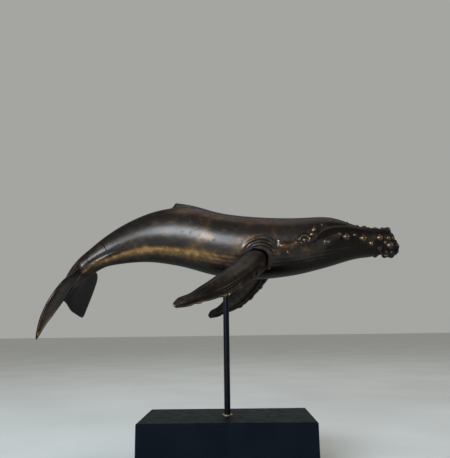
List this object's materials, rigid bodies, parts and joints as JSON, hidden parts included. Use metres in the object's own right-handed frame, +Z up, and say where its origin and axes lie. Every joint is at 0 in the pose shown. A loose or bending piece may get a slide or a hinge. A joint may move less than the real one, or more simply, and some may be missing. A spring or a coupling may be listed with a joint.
{
  "type": "whale figurine",
  "caption": "Swimming humpback whale in patinated bronze, held over a black lacquered block by a thin upright rod.",
  "frame": {"origin": "centre of the underside of the base felt, on the surface that it stands on, straight under the rod", "axes": "+Z up along the rod, +X along the base block towards the whale's head, +Y towards the whale's left side"},
  "size_m": [0.3326, 0.174, 0.238],
  "materials": {
    "bronze": "dark brown patina, polished, worn golden on the flanks and rims",
    "rod_black": "satin black",
    "block_lacquer": "black gloss lacquer",
    "brass": "polished",
    "zinc_steel": "zinc plated",
    "felt": "wool felt"
  },
  "bodies": {
    "root": {"whale_body": "bronze", "left_flipper": "bronze", "right_flipper": "bronze", "tail_flukes": "bronze", "rod_socket": "bronze", "support_rod": "rod_black", "rod_collar": "brass", "base_block": "block_lacquer", "base_washer": "zinc_steel", "lock_washer": "zinc_steel", "base_nut": "zinc_steel", "base_felt": "felt"}
  },
  "joints": []
}
